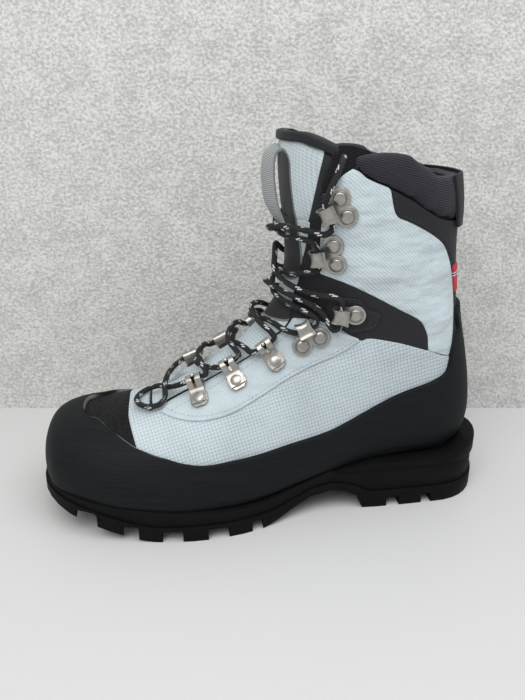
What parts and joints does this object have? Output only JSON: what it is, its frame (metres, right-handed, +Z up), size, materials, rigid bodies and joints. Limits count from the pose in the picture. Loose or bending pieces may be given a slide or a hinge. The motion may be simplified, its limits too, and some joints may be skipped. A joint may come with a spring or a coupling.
{
  "type": "mountaineering boot",
  "caption": "High laced mountaineering boot with lugged sole, rubber rand, flexing ankle, padded collar, folding tongue top and a lace through metal eyelets and hooks.",
  "frame": {"origin": "on the ground under the middle of the heel tread", "axes": "+X from heel to toe, +Y to the outer side of this left boot, +Z up"},
  "size_m": [0.2986, 0.1133, 0.241],
  "materials": {
    "sole_rubber": "matte moulded rubber",
    "rand_rubber": "matte rubber with fine brushed lines",
    "amber_plastic": "satin moulded plastic",
    "midsole_foam": "fine matte foam",
    "black_composite": "pressed fibre composite",
    "ledge_plastic": "stiff matte plastic",
    "fibre_board": "pressed fibre board",
    "footbed_felt": "felt over foam",
    "black_fabric": "dense coated weave",
    "stiffener_plastic": "thermoformed sheet",
    "ice_fabric": "ripstop weave",
    "ice_ribbed_fabric": "finely ribbed coated weave",
    "knit_lining": "ribbed knit over foam",
    "black_binding": "folded binding tape",
    "grey_webbing": "ribbed webbing",
    "tag_fabric": "woven ribbon",
    "lace_braid": "round braid with pale flecks",
    "satin_nickel": "satin nickel plate"
  },
  "bodies": {
    "foot": {"outsole": "sole_rubber", "arch_plug": "amber_plastic", "midsole": "midsole_foam", "shank_plate": "black_composite", "heel_ledge": "ledge_plastic", "lasting_board": "fibre_board", "footbed": "footbed_felt", "rand": "rand_rubber", "toe_panel": "black_fabric", "toe_puff": "stiffener_plastic", "heel_counter": "stiffener_plastic", "vamp_quarter": "ice_fabric", "lining_foot": "knit_lining", "lining_ankle": "knit_lining", "tongue_lower": "ice_fabric", "facing_outer": "ice_ribbed_fabric", "facing_inner": "ice_ribbed_fabric", "flex_gusset_outer": "black_fabric", "flex_gusset_inner": "black_fabric", "ankle_plate_outer": "black_fabric", "ankle_plate_inner": "black_fabric", "lace": "lace_braid", "ankle_hook_inner": "satin_nickel", "ankle_hook_outer": "satin_nickel", "eyelet_inner_1": "satin_nickel", "eyelet_inner_2": "satin_nickel", "eyelet_inner_3": "satin_nickel", "eyelet_outer_1": "satin_nickel", "eyelet_outer_2": "satin_nickel", "eyelet_outer_3": "satin_nickel", "locking_hook_inner": "satin_nickel", "locking_hook_outer": "satin_nickel"},
    "shaft": {"backstay": "black_fabric", "heel_cap": "rand_rubber", "collar_pad": "knit_lining", "lining_shaft": "knit_lining", "heel_tab": "black_fabric", "side_tag": "tag_fabric", "cuff_outer": "ice_ribbed_fabric", "cuff_inner": "ice_ribbed_fabric", "cuff_hook_inner": "satin_nickel", "cuff_hook_outer": "satin_nickel", "top_hook_inner": "satin_nickel", "top_hook_outer": "satin_nickel"},
    "tongue_top": {"tongue_upper": "ice_fabric", "tongue_binding": "black_binding", "pull_loop": "grey_webbing"},
    "ball_outer_1": {"ball_outer_1": "satin_nickel"},
    "ball_outer_2": {"ball_outer_2": "satin_nickel"},
    "ball_outer_3": {"ball_outer_3": "satin_nickel"},
    "ball_inner_1": {"ball_inner_1": "satin_nickel"},
    "ball_inner_2": {"ball_inner_2": "satin_nickel"},
    "ball_inner_3": {"ball_inner_3": "satin_nickel"}
  },
  "joints": [
    {"name": "ankle_flex", "type": "hinge", "parent": "foot", "child": "shaft", "pos_m": [0.035, 0, 0.095], "axis": [0, 1, 0], "range_deg": [0, 6], "deforming": ["lining_ankle", "tongue_lower", "flex_gusset_outer", "flex_gusset_inner", "lace"]},
    {"name": "tongue_fold", "type": "hinge", "parent": "shaft", "child": "tongue_top", "pos_m": [0.08, 0, 0.1975], "axis": [0, 1, 0], "range_deg": [-4, 35]},
    {"name": "ball_outer_1_roll", "type": "hinge", "parent": "foot", "child": "ball_outer_1", "pos_m": [0.14774, 0.02308, 0.09559], "axis": [0.0846, -0.8266, 0.5564], "continuous": true},
    {"name": "ball_outer_2_roll", "type": "hinge", "parent": "foot", "child": "ball_outer_2", "pos_m": [0.12707, 0.02686, 0.10618], "axis": [0.3024, -0.7334, 0.6088], "continuous": true},
    {"name": "ball_outer_3_roll", "type": "hinge", "parent": "foot", "child": "ball_outer_3", "pos_m": [0.10451, 0.03141, 0.11693], "axis": [0.5177, -0.47, 0.7149], "continuous": true},
    {"name": "ball_inner_1_roll", "type": "hinge", "parent": "foot", "child": "ball_inner_1", "pos_m": [0.14831, -0.0196, 0.09569], "axis": [0.1753, 0.7962, 0.5791], "continuous": true},
    {"name": "ball_inner_2_roll", "type": "hinge", "parent": "foot", "child": "ball_inner_2", "pos_m": [0.12713, -0.02141, 0.10628], "axis": [0.3179, 0.6955, 0.6444], "continuous": true},
    {"name": "ball_inner_3_roll", "type": "hinge", "parent": "foot", "child": "ball_inner_3", "pos_m": [0.10477, -0.02705, 0.11674], "axis": [0.4728, 0.4656, 0.7481], "continuous": true}
  ]
}
